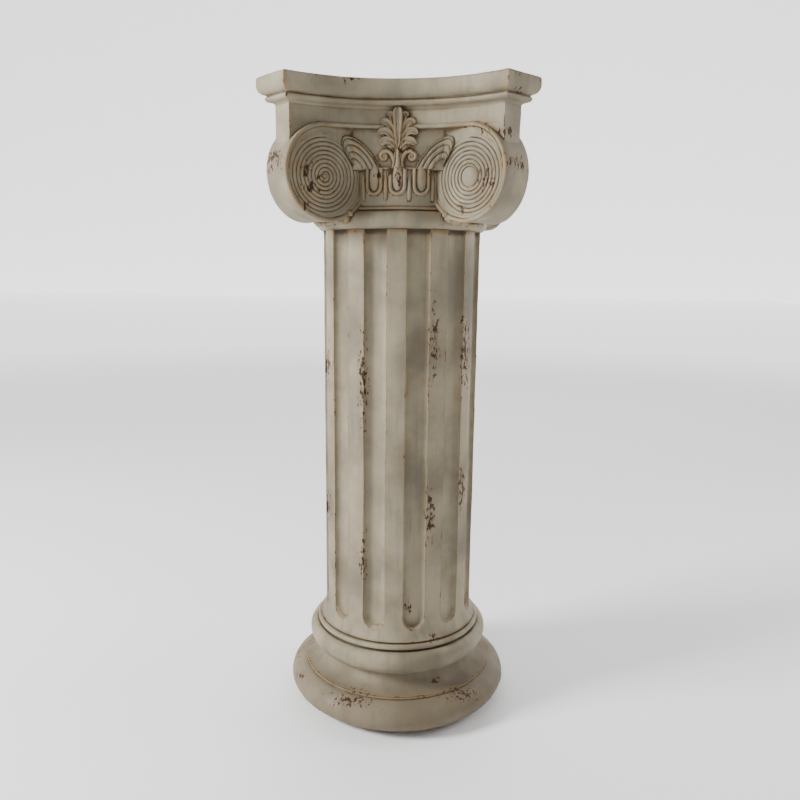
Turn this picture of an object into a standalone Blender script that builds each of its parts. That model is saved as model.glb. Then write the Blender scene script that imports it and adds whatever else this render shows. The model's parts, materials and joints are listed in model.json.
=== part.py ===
"""Column pedestal: one casting with a moulded base, a fluted shaft and a capital with four volutes.

Metres, +Z up. The origin is on the axis at the underside, and the front side is -Y.
The capital is alike on its four sides, so its carving is modelled on the front and turned.
"""
import math

import bmesh
import bpy
from mathutils import Matrix, Vector

# Base, from the floor up: heights, and how far each moulding stands out beyond the shaft
SHAFT_FOOT_RADIUS = 0.1136
SHAFT_HEAD_RADIUS = 0.1146
FOOT_ROUND_HEIGHT = 0.0540
FOOT_ROUND_PROJECTION = 0.0552
FOOT_ROUND_CORE = 0.0056
FOOT_ROUND_SEAT = 0.54
FOOT_ROUND_LIP_ANGLE = 61.0
LIP_HEIGHT = 0.0010
HOLLOW_HEIGHT = 0.0260
HOLLOW_THROAT_PROJECTION = 0.0044
UPPER_ROUND_HEIGHT = 0.0368
UPPER_ROUND_PROJECTION = 0.0247
UPPER_ROUND_TOP_PROJECTION = 0.0149
UPPER_ROUND_SEAT = 0.65
BEAD_HEIGHT = 0.0095
BEAD_PROJECTION = 0.0124
SHAFT_FLARE_HEIGHT = 0.0340
SHAFT_FLARE_PROJECTION = 0.0074

# Shaft and the ring under the capital
SHAFT_HEIGHT = 0.5893
ASTRAGAL_HEIGHT = 0.0229
ASTRAGAL_PROJECTION = 0.0094
FLUTE_COUNT = 12
FLUTE_WIDTH = 0.0330
FLUTE_DEPTH = 0.0100
FLUTE_FOOT_GAP = 0.0181

# Drum, canalis and neck of the capital
DRUM_HEIGHT = 0.0549
DRUM_RADIUS = 0.1120
CANALIS_HEIGHT = 0.0486
CANALIS_SETBACK = 0.0055
BAND_HEIGHT = 0.0050
NECK_HEIGHT = 0.0200
NECK_HALF_WIDTH = 0.1115
CORNER_BEYOND_VOLUTE = 0.0510
CORNER_WIDTH = 0.0310
CORNER_WEB_SINK = 0.0060

# Abacus mouldings, each with its height and how far it stands out beyond the neck
ABACUS_BEAD_HEIGHT = 0.0100
ABACUS_BEAD_PROJECTION = 0.0095
ABACUS_ROUND_HEIGHT = 0.0125
ABACUS_ROUND_START = 0.0105
ABACUS_PROJECTION = 0.0180
ABACUS_RIM_HEIGHT = 0.0105
ABACUS_EDGE_ROUND = 0.0025

# Volutes: a wedge along each diagonal, with a round outer end and turned rings on both faces
VOLUTE_RADIUS = 0.0625
VOLUTE_CENTRE_REACH = 0.1535
VOLUTE_HALF_THICKNESS = 0.0225
VOLUTE_FLARE = 0.12
VOLUTE_RIM_WIDTH = 0.0063
VOLUTE_RIM_RELIEF = 0.0025
RING_RADIUS = 0.0500
RING_SHIFT_OUT = 0.0050
RING_SHIFT_DOWN = 0.0040
RING_COUNT = 3
RING_GROOVE_DEPTH = 0.0028
EYE_RADIUS = 0.0130

# Eggs and darts on the drum, placed by their angle from the middle of each side
EGG_ANGLE = 16.0
EGG_WIDTH = 0.0210
EGG_HEIGHT = 0.0339
EGG_RELIEF = 0.0042
EGGS_PER_SIDE = 3
DART_WIDTH = 0.0060
DART_HEIGHT = 0.0416
DART_RELIEF = 0.0032

# Palmette in the middle of each side
PALMETTE_HEIGHT = 0.0746
PALMETTE_HALF_WIDTH = 0.0235
PALMETTE_WAIST = 0.0220
PALMETTE_RELIEF = 0.0035
LOBES_PER_SIDE = 4
LOBE_RELIEF = 0.0035
STEM_THICKNESS = 0.0070
SCROLL_THICKNESS = 0.0048
SCROLL_RELIEF = 0.0012

# Leaf sprays beside the palmette
SPRAY_INNER_FOOT = 0.0215
SPRAY_OUTER_FOOT = 0.0566
SPRAY_HEIGHT = 0.0450
SPRAY_RELIEF = 0.0032
SPRAY_RIBS = 2
CARVING_SINK = 0.0013

# How finely round shapes are cut into faces, and how deep a joined piece sits in the next
TURNED_STEPS = 36
FLUTE_STEPS = 16
HOLLOW_SIDE_STEPS = 7
RING_STEPS = 14
VOLUTE_STEPS = 15
EGG_STEPS = 4
SPRAY_STEPS = 6
OVERLAP = 0.0040
CLEAR = 0.0005
WELD = 0.00002
SLIVER = 0.00006

PAINT_COLOUR = (0.56, 0.51, 0.42, 1.0)
PAINT_ROUGHNESS = 0.75

# Heights that follow from the sizes above
FOOT_TOP = FOOT_ROUND_HEIGHT
HOLLOW_TOP = FOOT_TOP + HOLLOW_HEIGHT
UPPER_ROUND_TOP = HOLLOW_TOP + UPPER_ROUND_HEIGHT
BASE_TOP = UPPER_ROUND_TOP + BEAD_HEIGHT
SHAFT_TOP = BASE_TOP + SHAFT_HEIGHT
DRUM_FOOT = SHAFT_TOP + ASTRAGAL_HEIGHT
DRUM_TOP = DRUM_FOOT + DRUM_HEIGHT
BAND_FOOT = DRUM_TOP + CANALIS_HEIGHT
NECK_FOOT = BAND_FOOT + BAND_HEIGHT
NECK_TOP = NECK_FOOT + NECK_HEIGHT
ABACUS_BEAD_TOP = NECK_TOP + ABACUS_BEAD_HEIGHT
ABACUS_ROUND_TOP = ABACUS_BEAD_TOP + ABACUS_ROUND_HEIGHT
TOP = ABACUS_ROUND_TOP + ABACUS_RIM_HEIGHT
CANALIS_HALF_WIDTH = DRUM_RADIUS - CANALIS_SETBACK
VOLUTE_CENTRE_HEIGHT = NECK_FOOT + CLEAR - VOLUTE_RADIUS
VOLUTE_END = VOLUTE_CENTRE_REACH + VOLUTE_RADIUS
CORNER_REACH = VOLUTE_CENTRE_REACH + CORNER_BEYOND_VOLUTE
RING_REACH = VOLUTE_CENTRE_REACH + RING_SHIFT_OUT
RING_HEIGHT = VOLUTE_CENTRE_HEIGHT - RING_SHIFT_DOWN
DIAGONAL = math.sqrt(0.5)
SIDES = 4


def start_scene():
    for old in list(bpy.data.objects):
        bpy.data.objects.remove(old)


def new_group(name):
    group = bpy.data.collections.new(name)
    bpy.context.scene.collection.children.link(group)
    return group


def add_helper(name, mesh, group):
    """A piece that is joined to the casting or cuts it, and isn't shown by itself."""
    piece = bpy.data.objects.new(name, mesh)
    group.objects.link(piece)
    piece.hide_render = True
    piece.display_type = 'WIRE'
    return piece


def closed_mesh(name, form):
    """Finish a bmesh: weld it, point its faces outwards and make it a mesh."""
    bmesh.ops.remove_doubles(form, verts=form.verts, dist=WELD)
    bmesh.ops.recalc_face_normals(form, faces=form.faces)
    mesh = bpy.data.meshes.new(name)
    form.to_mesh(mesh)
    form.free()
    return mesh


def arc(centre_x, centre_y, radius_x, radius_y, start, end, steps):
    """Points on an elliptical arc, with the angles in degrees."""
    points = []
    for step in range(steps + 1):
        angle = math.radians(start + (end - start) * step / steps)
        points.append((centre_x + radius_x * math.cos(angle), centre_y + radius_y * math.sin(angle)))
    return points


def bezier(controls, share):
    """A point on the Bezier curve of any number of control points."""
    points = [Vector(control) for control in controls]
    while len(points) > 1:
        points = [low.lerp(high, share) for low, high in zip(points, points[1:])]
    return points[0]


def turned(name, profile, steps, group):
    """Turn a profile of (radius, height) points, listed from the top down, about Z."""
    mesh = bpy.data.meshes.new(name)
    points = [(radius, 0.0, height) for radius, height in profile]
    mesh.from_pydata(points, [(index, index + 1) for index in range(len(points) - 1)], [])
    piece = add_helper(name, mesh, group)
    screw = piece.modifiers.new("turn", 'SCREW')
    screw.steps = steps
    screw.render_steps = steps
    screw.use_merge_vertices = True
    screw.merge_threshold = WELD
    screw.use_smooth_shade = False
    return piece


def loft(name, rings, group):
    """A closed solid through rings of equally many points."""
    form = bmesh.new()
    levels = [[form.verts.new(point) for point in ring] for ring in rings]
    form.faces.new(levels[0])
    form.faces.new(levels[-1])
    count = len(levels[0])
    for low, high in zip(levels, levels[1:]):
        for index in range(count):
            after = (index + 1) % count
            form.faces.new((low[index], low[after], high[after], high[index]))
    return add_helper(name, closed_mesh(name, form), group)


def combine(piece, group, operation):
    boolean = piece.modifiers.new(operation.lower(), 'BOOLEAN')
    boolean.operation = operation
    boolean.operand_type = 'COLLECTION'
    boolean.collection = group
    boolean.solver = 'EXACT'


def turn_to_sides(piece, group, first_angle=0.0):
    """Turn the piece to its first side and add a copy, with the same mesh, on each other side."""
    place = piece.matrix_basis.copy()
    piece.matrix_basis = Matrix.Rotation(first_angle, 4, 'Z') @ place
    for side in range(1, SIDES):
        copy = piece.copy()
        group.objects.link(copy)
        copy.matrix_basis = Matrix.Rotation(first_angle + side * math.tau / SIDES, 4, 'Z') @ place


# Turned body: base, shaft, ring and drum, as one profile from the top down
def shaft_foot_profile():
    flare = SHAFT_FOOT_RADIUS + SHAFT_FLARE_PROJECTION
    bead = BEAD_HEIGHT / 2
    bead_seat = SHAFT_FOOT_RADIUS + BEAD_PROJECTION - bead
    points = arc(flare, BASE_TOP + SHAFT_FLARE_HEIGHT, SHAFT_FLARE_PROJECTION, SHAFT_FLARE_HEIGHT,
                 180, 270, 3)
    points += arc(bead_seat, BASE_TOP - bead, bead, bead, 60, -60, 2)
    return points


def upper_round_profile():
    edge = SHAFT_FOOT_RADIUS + UPPER_ROUND_TOP_PROJECTION
    swell = UPPER_ROUND_PROJECTION - UPPER_ROUND_TOP_PROJECTION
    throat = SHAFT_FOOT_RADIUS + HOLLOW_THROAT_PROJECTION
    widest = HOLLOW_TOP + UPPER_ROUND_HEIGHT * UPPER_ROUND_SEAT
    points = arc(edge, widest, swell, UPPER_ROUND_TOP - widest, 90, 0, 3)
    points += arc(throat, widest, edge + swell - throat, widest - HOLLOW_TOP, 0, -90, 3)[1:]
    return points


def foot_profile():
    throat = SHAFT_FOOT_RADIUS + HOLLOW_THROAT_PROJECTION
    core = SHAFT_FOOT_RADIUS + FOOT_ROUND_CORE
    swell = FOOT_ROUND_PROJECTION - FOOT_ROUND_CORE
    widest = FOOT_ROUND_HEIGHT * FOOT_ROUND_SEAT
    upper_half = (FOOT_ROUND_HEIGHT - widest) / math.sin(math.radians(FOOT_ROUND_LIP_ANGLE))
    upper_arc = arc(core, widest, swell, upper_half, FOOT_ROUND_LIP_ANGLE, 0, 3)
    lip = upper_arc[0][0]
    points = arc(lip, HOLLOW_TOP, lip - throat, HOLLOW_HEIGHT - LIP_HEIGHT, 180, 270, 3)[1:]
    points += upper_arc
    points += arc(core, widest, swell, widest, 0, -90, 3)[1:]
    return points


def body_profile():
    points = [(0.0, DRUM_TOP), (DRUM_RADIUS, DRUM_TOP), (DRUM_RADIUS, DRUM_FOOT)]
    points += arc(SHAFT_HEAD_RADIUS, SHAFT_TOP + ASTRAGAL_HEIGHT / 2, ASTRAGAL_PROJECTION,
                  ASTRAGAL_HEIGHT / 2, 90, -90, 4)
    points += shaft_foot_profile() + upper_round_profile() + foot_profile()
    points.append((0.0, 0.0))
    return points


def flute_cutters(group):
    """Round-ended rods that stand in a circle and cut the flutes up to the ring."""
    chord = FLUTE_WIDTH / 2
    sagitta = FLUTE_DEPTH - chord ** 2 / (2 * SHAFT_HEAD_RADIUS)
    rod = (chord ** 2 + sagitta ** 2) / (2 * sagitta)
    foot = BASE_TOP + FLUTE_FOOT_GAP + chord
    profile = [(0.0, SHAFT_TOP), (rod, SHAFT_TOP)] + arc(0.0, foot, rod, rod, 0, -90, 3)
    reach = SHAFT_HEAD_RADIUS - FLUTE_DEPTH + rod
    for index in range(FLUTE_COUNT):
        angle = (index + 0.5) * math.tau / FLUTE_COUNT
        cutter = turned("flute_%02d" % index, profile, FLUTE_STEPS, group)
        cutter.location = (reach * math.cos(angle), reach * math.sin(angle), 0.0)
        cutter.rotation_euler = (0.0, 0.0, angle)


# Neck and abacus: a square with hollow sides and cut corners
def hollow_side():
    """Radius of the hollow side's arc, and how far the arc's centre is from the axis."""
    half_length = (CORNER_REACH - CORNER_WIDTH / 2) * DIAGONAL
    rise = (CORNER_REACH + CORNER_WIDTH / 2) * DIAGONAL - NECK_HALF_WIDTH
    radius = (half_length ** 2 + rise ** 2) / (2 * rise)
    return radius, NECK_HALF_WIDTH + radius


def outline_half_width(reach, offset=0.0):
    """Half the outline's width across a diagonal, at a distance from the axis."""
    radius, centre = hollow_side()
    wide = centre / DIAGONAL
    rest = reach ** 2 - wide * reach + centre ** 2 - (radius - offset) ** 2
    return (wide - math.sqrt(wide ** 2 - 4 * rest)) / 2


def hollow_square(offset, height):
    """The outline at a height, moved outwards by the offset, as 3-D points once round."""
    radius, centre = hollow_side()
    shrunk = radius - offset
    reach = CORNER_REACH + offset
    corner = (reach - outline_half_width(reach, offset)) * DIAGONAL
    spread = math.asin(corner / shrunk)
    points = []
    for side in range(SIDES):
        turn = Matrix.Rotation(side * math.tau / SIDES, 3, 'Z')
        for step in range(HOLLOW_SIDE_STEPS + 1):
            angle = spread * (2 * step / HOLLOW_SIDE_STEPS - 1)
            front = Vector((shrunk * math.sin(angle), shrunk * math.cos(angle) - centre, height))
            points.append(turn @ front)
    return points


def abacus_block(group):
    """Neck, bead, quarter round and rim, one outline above the other."""
    levels = [(BAND_FOOT, 0.0), (NECK_TOP, 0.0)]
    for share in (0.25, 0.75):
        levels.append((NECK_TOP + ABACUS_BEAD_HEIGHT * share, ABACUS_BEAD_PROJECTION))
    levels.append((ABACUS_BEAD_TOP, ABACUS_ROUND_START))
    swell = ABACUS_PROJECTION - ABACUS_ROUND_START
    for offset, height in arc(ABACUS_ROUND_START, ABACUS_ROUND_TOP, swell, ABACUS_ROUND_HEIGHT,
                              -60, 0, 2):
        levels.append((height, offset))
    levels.append((TOP - ABACUS_EDGE_ROUND, ABACUS_PROJECTION))
    levels.append((TOP, ABACUS_PROJECTION - ABACUS_EDGE_ROUND))
    loft("abacus", [hollow_square(offset, height) for height, offset in levels], group)


def raised_band(group):
    """A ridge along the neck's foot that runs into the volutes' rims at both ends."""
    radius, centre = hollow_side()
    end = (VOLUTE_CENTRE_REACH - outline_half_width(VOLUTE_CENTRE_REACH)) * DIAGONAL
    spread = math.asin(end / radius)
    points = []
    for step in range(HOLLOW_SIDE_STEPS + 1):
        angle = spread * (2 * step / HOLLOW_SIDE_STEPS - 1)
        points.append((radius * math.sin(angle), radius * math.cos(angle) - centre,
                       BAND_FOOT + BAND_HEIGHT / 2))
    ridge("raised_band", points, BAND_HEIGHT, (1.0, 1.0), group)


def canalis_block(group):
    """The plain block behind the palmettes and sprays."""
    form = bmesh.new()
    bmesh.ops.create_cube(form, size=2 * CANALIS_HALF_WIDTH)
    height = BAND_FOOT - DRUM_TOP + 2 * OVERLAP
    squash = Matrix.Diagonal((1.0, 1.0, height / (2 * CANALIS_HALF_WIDTH), 1.0))
    lift = Matrix.Translation((0.0, 0.0, (BAND_FOOT + DRUM_TOP) / 2))
    bmesh.ops.transform(form, matrix=lift @ squash, verts=form.verts)
    add_helper("canalis", closed_mesh("canalis", form), group)


# Volutes, modelled along +X and turned to the diagonals
def volute_half_thickness(reach):
    return VOLUTE_HALF_THICKNESS + VOLUTE_FLARE * (VOLUTE_END - reach)


def wedge(name, outline, half_thickness, group):
    """A solid whose outline is in the XZ plane and whose thickness follows its reach along X."""
    sides = [[(reach, sign * half_thickness(reach), height) for reach, height in outline]
             for sign in (-1, 1)]
    return loft(name, sides, group)


def volute_outline(margin, inner):
    """A bar that ends in a round: the bar lies over the round's centre, at its top."""
    radius = VOLUTE_RADIUS - margin
    outline = arc(VOLUTE_CENTRE_REACH, VOLUTE_CENTRE_HEIGHT, radius, radius, 180, 450, VOLUTE_STEPS)
    return [(inner, outline[-1][1]), (inner, VOLUTE_CENTRE_HEIGHT)] + outline


def volute_face_point(sign, reach, height, lift):
    """A point on a volute's face, or lifted off it along the face's normal."""
    slope = lift / math.hypot(1.0, VOLUTE_FLARE)
    across = volute_half_thickness(reach) + slope
    return Vector((reach + slope * VOLUTE_FLARE, sign * across, height))


def recess_cutter(sign, group):
    """Sinks the face inside the rim."""
    outline = volute_outline(VOLUTE_RIM_WIDTH, 2 * OVERLAP)
    rings = [[volute_face_point(sign, reach, height, lift) for reach, height in outline]
             for lift in (-VOLUTE_RIM_RELIEF, OVERLAP)]
    cutter = loft("recess", rings, group)
    turn_to_sides(cutter, group, math.pi / SIDES)


def ring_cutter(sign, group):
    """The rings and the eye, as a turned tool that is pressed into the sunk face."""
    pitch = (RING_RADIUS - EYE_RADIUS) / RING_COUNT
    relief = [(0.0, CLEAR), (EYE_RADIUS * 0.7, 0.0), (EYE_RADIUS, -RING_GROOVE_DEPTH)]
    for ring in range(RING_COUNT):
        start = EYE_RADIUS + ring * pitch
        relief.append((start + pitch * 0.5, -CLEAR))
        relief.append((start + pitch, -RING_GROOVE_DEPTH))
    profile = [(0.0, OVERLAP), (RING_RADIUS, OVERLAP)] + list(reversed(relief))
    cutter = turned("rings", profile, RING_STEPS, group)
    cutter.location = volute_face_point(sign, RING_REACH, RING_HEIGHT, -VOLUTE_RIM_RELIEF)
    cutter.rotation_euler = (-sign * math.pi / 2, 0.0, -sign * math.atan(VOLUTE_FLARE))
    place = Matrix.Translation(cutter.location) @ cutter.rotation_euler.to_matrix().to_4x4()
    cutter.matrix_basis = place
    turn_to_sides(cutter, group, math.pi / SIDES)


def volutes(group, cutters):
    for sign in (-1, 1):
        recess_cutter(sign, cutters)
        ring_cutter(sign, cutters)
    arm = wedge("volute", volute_outline(0.0, OVERLAP), volute_half_thickness, group)
    combine(arm, cutters, 'DIFFERENCE')
    turn_to_sides(arm, group, math.pi / SIDES)


def corner_webs(group):
    """The neck's corners run on down to the volutes' round tops."""
    outline = [(VOLUTE_CENTRE_REACH, NECK_FOOT + OVERLAP)]
    outline.append((CORNER_REACH - CLEAR, NECK_FOOT + OVERLAP))
    for reach in (CORNER_REACH - CLEAR, (CORNER_REACH + VOLUTE_CENTRE_REACH) / 2, VOLUTE_CENTRE_REACH):
        rise = math.sqrt(VOLUTE_RADIUS ** 2 - (reach - VOLUTE_CENTRE_REACH) ** 2)
        outline.append((reach, VOLUTE_CENTRE_HEIGHT + rise - CORNER_WEB_SINK))
    web = wedge("corner_web", outline, lambda reach: outline_half_width(reach) - CLEAR, group)
    turn_to_sides(web, group, math.pi / SIDES)


# Carving of the front side, copied to the other three
def egg_and_darts(group):
    """An egg in its shell: half a turned boss below, drawn straight up to the drum's top."""
    half = EGG_WIDTH / 2
    section = [(0.0, 1.0), (0.35, 0.8), (0.58, 0.1), (0.78, 0.8), (1.0, -0.1)]
    straight = EGG_HEIGHT - half - CLEAR
    form = bmesh.new()
    verts = [form.verts.new((-half * share, -EGG_RELIEF * lift, 0.0)) for share, lift in section]
    first = [form.edges.new(pair) for pair in zip(verts, verts[1:])]
    spun = bmesh.ops.spin(form, geom=verts + first, cent=(0, 0, 0), axis=(0, 1, 0), angle=-math.pi,
                          steps=EGG_STEPS)
    last = [item for item in spun['geom_last'] if isinstance(item, bmesh.types.BMEdge)]
    for chain in (first, last):
        drawn = bmesh.ops.extrude_edge_only(form, edges=chain)
        moved = [item for item in drawn['geom'] if isinstance(item, bmesh.types.BMVert)]
        bmesh.ops.translate(form, verts=moved, vec=(0.0, 0.0, straight))
    bmesh.ops.remove_doubles(form, verts=form.verts, dist=WELD)
    back = bmesh.ops.extrude_face_region(form, geom=form.faces[:])
    for item in back['geom']:
        if isinstance(item, bmesh.types.BMVert):
            item.co.y = OVERLAP
    egg_mesh = closed_mesh("egg", form)
    gap = math.radians(EGG_ANGLE)
    for index in range(EGGS_PER_SIDE):
        angle = gap * (index - (EGGS_PER_SIDE - 1) / 2)
        egg = add_helper("egg", egg_mesh, group)
        place = Matrix.Translation((0.0, -DRUM_RADIUS, DRUM_TOP - CLEAR - straight))
        egg.matrix_basis = Matrix.Rotation(angle, 4, 'Z') @ place
        turn_to_sides(egg, group)
    form = bmesh.new()
    bmesh.ops.create_cone(form, cap_ends=True, segments=4, radius1=DART_WIDTH * 0.35,
                          radius2=DART_WIDTH / 2, depth=DART_HEIGHT)
    stretch = Matrix.Diagonal((1.0, 2 * DART_RELIEF / DART_WIDTH, 1.0, 1.0))
    bmesh.ops.transform(form, matrix=stretch, verts=form.verts)
    dart_mesh = closed_mesh("dart", form)
    for index in range(EGGS_PER_SIDE + 1):
        angle = gap * (index - EGGS_PER_SIDE / 2)
        dart = add_helper("dart", dart_mesh, group)
        place = Matrix.Translation((0.0, -DRUM_RADIUS, DRUM_TOP - CLEAR - DART_HEIGHT / 2))
        dart.matrix_basis = Matrix.Rotation(angle, 4, 'Z') @ place
        turn_to_sides(dart, group)


def ridge(name, points, thickness, swells, group):
    """A rounded ridge along points, as a bevelled curve made a mesh, on all four sides."""
    data = bpy.data.curves.new(name, 'CURVE')
    data.dimensions = '3D'
    data.bevel_depth = thickness / 2
    data.bevel_resolution = 0
    data.use_fill_caps = True
    spline = data.splines.new('POLY')
    spline.points.add(len(points) - 1)
    for index, point in enumerate(points):
        spline.points[index].co = (*point, 1.0)
        share = index / (len(points) - 1)
        spline.points[index].radius = swells[0] + (swells[1] - swells[0]) * math.sin(share * math.pi / 2)
    rod = bpy.data.objects.new(name, data)
    group.objects.link(rod)
    bpy.context.view_layer.update()
    evaluated = rod.evaluated_get(bpy.context.evaluated_depsgraph_get())
    form = bmesh.new()
    form.from_mesh(bpy.data.meshes.new_from_object(evaluated))
    bpy.data.objects.remove(rod)
    turn_to_sides(add_helper(name, closed_mesh(name, form), group), group)


def palmette_slice(column, waist, fan):
    """A slice through the fan from root to tip, on a lobe's crest or in the valley beside it."""
    crest = column % 2 == 0
    share = min(abs(column) / 2 / LOBES_PER_SIDE, 1.0)
    tip_x = math.copysign(PALMETTE_HALF_WIDTH * math.sin(math.pi / 2 * share ** 0.8), column)
    tip_z = fan * 0.92 * (1.0 - 0.4 * abs(column) / LOBES_PER_SIDE)
    if column == 0:
        tip_z = fan
    reach = 1.0 if crest else 0.84
    front = max(NECK_HALF_WIDTH, CANALIS_HALF_WIDTH) + PALMETTE_RELIEF
    lifts = (0.0, LOBE_RELIEF, LOBE_RELIEF * 0.6) if crest else (-CLEAR, -CLEAR, -CLEAR)
    controls = [(tip_x * 0.2, tip_z * 0.1), (tip_x * 0.45, tip_z + fan * 0.08), (tip_x, tip_z)]
    ring = []
    for share, lift in zip((0.0, 0.55, reach), lifts):
        spot = bezier(controls, share)
        ring.append((spot.x, -front - lift, waist + spot.y))
    for share in (reach, 0.0):
        spot = bezier(controls, share)
        ring.append((spot.x, OVERLAP - CANALIS_HALF_WIDTH, waist + spot.y))
    return ring


def palmette(group):
    """A fan of lobes that curl outwards, over a stem with a scroll on either side."""
    waist = DRUM_TOP + PALMETTE_WAIST
    last = 2 * LOBES_PER_SIDE + 1
    slices = [palmette_slice(column, waist, PALMETTE_HEIGHT - PALMETTE_WAIST)
              for column in range(-last, last + 1)]
    turn_to_sides(loft("palmette", slices, group), group)
    scroll = [(0.0040, 0.0), (0.0055, 0.7), (0.0115, 0.95), (0.0180, 0.66)]
    for sign in (-1, 1):
        points = [(sign * x, -CANALIS_HALF_WIDTH - SCROLL_RELIEF,
                   DRUM_TOP - CARVING_SINK + PALMETTE_WAIST * rise) for x, rise in scroll]
        ridge("scroll", points, SCROLL_THICKNESS, (0.9, 1.0), group)
    ridge("stem", [(0.0, -CANALIS_HALF_WIDTH - OVERLAP, DRUM_TOP - CARVING_SINK),
                   (0.0, -CANALIS_HALF_WIDTH - OVERLAP, waist + OVERLAP)], STEM_THICKNESS,
          (1.0, 0.9), group)


def face_distance(across):
    """How far the capital's face is from the axis plane, at a distance from the side's middle."""
    start = (VOLUTE_HALF_THICKNESS + VOLUTE_FLARE * VOLUTE_END - VOLUTE_RIM_RELIEF) / DIAGONAL
    volute = (start + across * (1.0 - VOLUTE_FLARE)) / (1.0 + VOLUTE_FLARE)
    return max(CANALIS_HALF_WIDTH, volute)


def leaf_spray(group):
    """An arching leaf: its rim and the ribs inside it repeat one curve on smaller scales."""
    inner = Vector((SPRAY_INNER_FOOT, 0.0))
    outer = Vector((SPRAY_OUTER_FOOT, 0.0))
    span = SPRAY_OUTER_FOOT - SPRAY_INNER_FOOT
    rim = [inner, inner + Vector((span * 0.67, SPRAY_HEIGHT * 1.11)),
           outer + Vector((span * 1.24, SPRAY_HEIGHT * 1.38)), outer]
    section = [(1.0, -CLEAR), (0.93, SPRAY_RELIEF)]
    for rib in range(SPRAY_RIBS):
        scale = 0.93 - 0.25 * (rib + 0.5)
        section += [(scale, CLEAR), (scale - 0.12, SPRAY_RELIEF * 0.8)]
    section.append((section[-1][0] - 0.12, -CLEAR))
    for sign in (-1, 1):
        slices = []
        for step in range(SPRAY_STEPS + 1):
            edge = bezier(rim, 0.93 * step / SPRAY_STEPS) - outer
            front = [(outer + scale * edge, lift) for scale, lift in section]
            ring = [(sign * spot.x, -face_distance(spot.x) - lift, DRUM_TOP - CARVING_SINK + spot.y)
                    for spot, lift in front]
            for spot in (front[-1][0], front[0][0]):
                ring.append((sign * spot.x, OVERLAP - CANALIS_HALF_WIDTH, DRUM_TOP - CARVING_SINK + spot.y))
            slices.append(ring)
        turn_to_sides(loft("leaf_spray", slices, group), group)


def paint():
    material = bpy.data.materials.new("aged_paint")
    material.use_nodes = True
    shader = material.node_tree.nodes["Principled BSDF"]
    shader.inputs["Base Color"].default_value = PAINT_COLOUR
    shader.inputs["Roughness"].default_value = PAINT_ROUGHNESS
    shader.inputs["Metallic"].default_value = 0.0
    return material


def build():
    start_scene()
    parts = new_group("column_pedestal")
    flutes = new_group("flute_cutters")
    face_cutters = new_group("volute_face_cutters")
    capital = new_group("capital_pieces")
    palmette(capital)
    leaf_spray(capital)
    egg_and_darts(capital)
    flute_cutters(flutes)
    abacus_block(capital)
    raised_band(capital)
    canalis_block(capital)
    corner_webs(capital)
    volutes(capital, face_cutters)
    casting = turned("column_pedestal", body_profile(), TURNED_STEPS, parts)
    casting.hide_render = False
    casting.display_type = 'TEXTURED'
    combine(casting, flutes, 'DIFFERENCE')
    combine(casting, capital, 'UNION')
    weld = casting.modifiers.new("close_slivers", 'WELD')
    weld.merge_threshold = SLIVER
    casting.data.materials.append(paint())


build()
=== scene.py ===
# %% [markdown]
# A cast column pedestal: a moulded round base, a shaft with twelve flutes and a capital with four
# volutes under a hollow-sided square top. The real one is a single casting with an aged cream paint
# that was washed with grey and tan, rubbed back on its edges and chipped down to dark brown.
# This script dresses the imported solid: the forms are modelled again with fine surfaces, each close
# to the solid's own place, and one painted finish covers them all.

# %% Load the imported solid
import json
import math
import bpy
import numpy as np
from mathutils import Matrix, Vector
from mathutils.bvhtree import BVHTree

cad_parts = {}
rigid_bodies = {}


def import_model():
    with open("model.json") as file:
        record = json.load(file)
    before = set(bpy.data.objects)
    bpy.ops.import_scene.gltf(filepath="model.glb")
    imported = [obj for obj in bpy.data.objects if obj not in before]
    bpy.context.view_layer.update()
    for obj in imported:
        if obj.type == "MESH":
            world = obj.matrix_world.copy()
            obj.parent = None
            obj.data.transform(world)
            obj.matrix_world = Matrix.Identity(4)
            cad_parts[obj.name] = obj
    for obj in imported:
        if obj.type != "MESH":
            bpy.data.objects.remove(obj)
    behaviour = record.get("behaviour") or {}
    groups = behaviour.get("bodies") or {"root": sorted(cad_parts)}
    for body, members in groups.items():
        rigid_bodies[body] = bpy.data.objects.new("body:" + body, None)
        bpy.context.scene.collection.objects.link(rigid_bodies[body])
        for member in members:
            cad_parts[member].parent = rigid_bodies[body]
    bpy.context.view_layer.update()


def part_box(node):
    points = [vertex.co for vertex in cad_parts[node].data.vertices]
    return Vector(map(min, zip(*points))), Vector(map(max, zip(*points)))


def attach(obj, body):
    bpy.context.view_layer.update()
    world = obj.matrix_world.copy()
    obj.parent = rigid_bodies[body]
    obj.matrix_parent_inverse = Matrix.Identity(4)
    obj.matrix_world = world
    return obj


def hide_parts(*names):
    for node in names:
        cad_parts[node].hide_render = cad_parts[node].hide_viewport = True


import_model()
CASTING = "column_pedestal"
low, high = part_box(CASTING)
TOP = high[2]
print("solid from", [round(x, 4) for x in low], "to", [round(x, 4) for x in high])

# %% [markdown]
# The photo was taken from a little above the capital's middle, close by, with a short lens.
# The camera stands there first, because the chips in the paint are later placed by what it sees:
# a point of the surface is turned into a place in the picture, and compared with where a chip shows.

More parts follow.
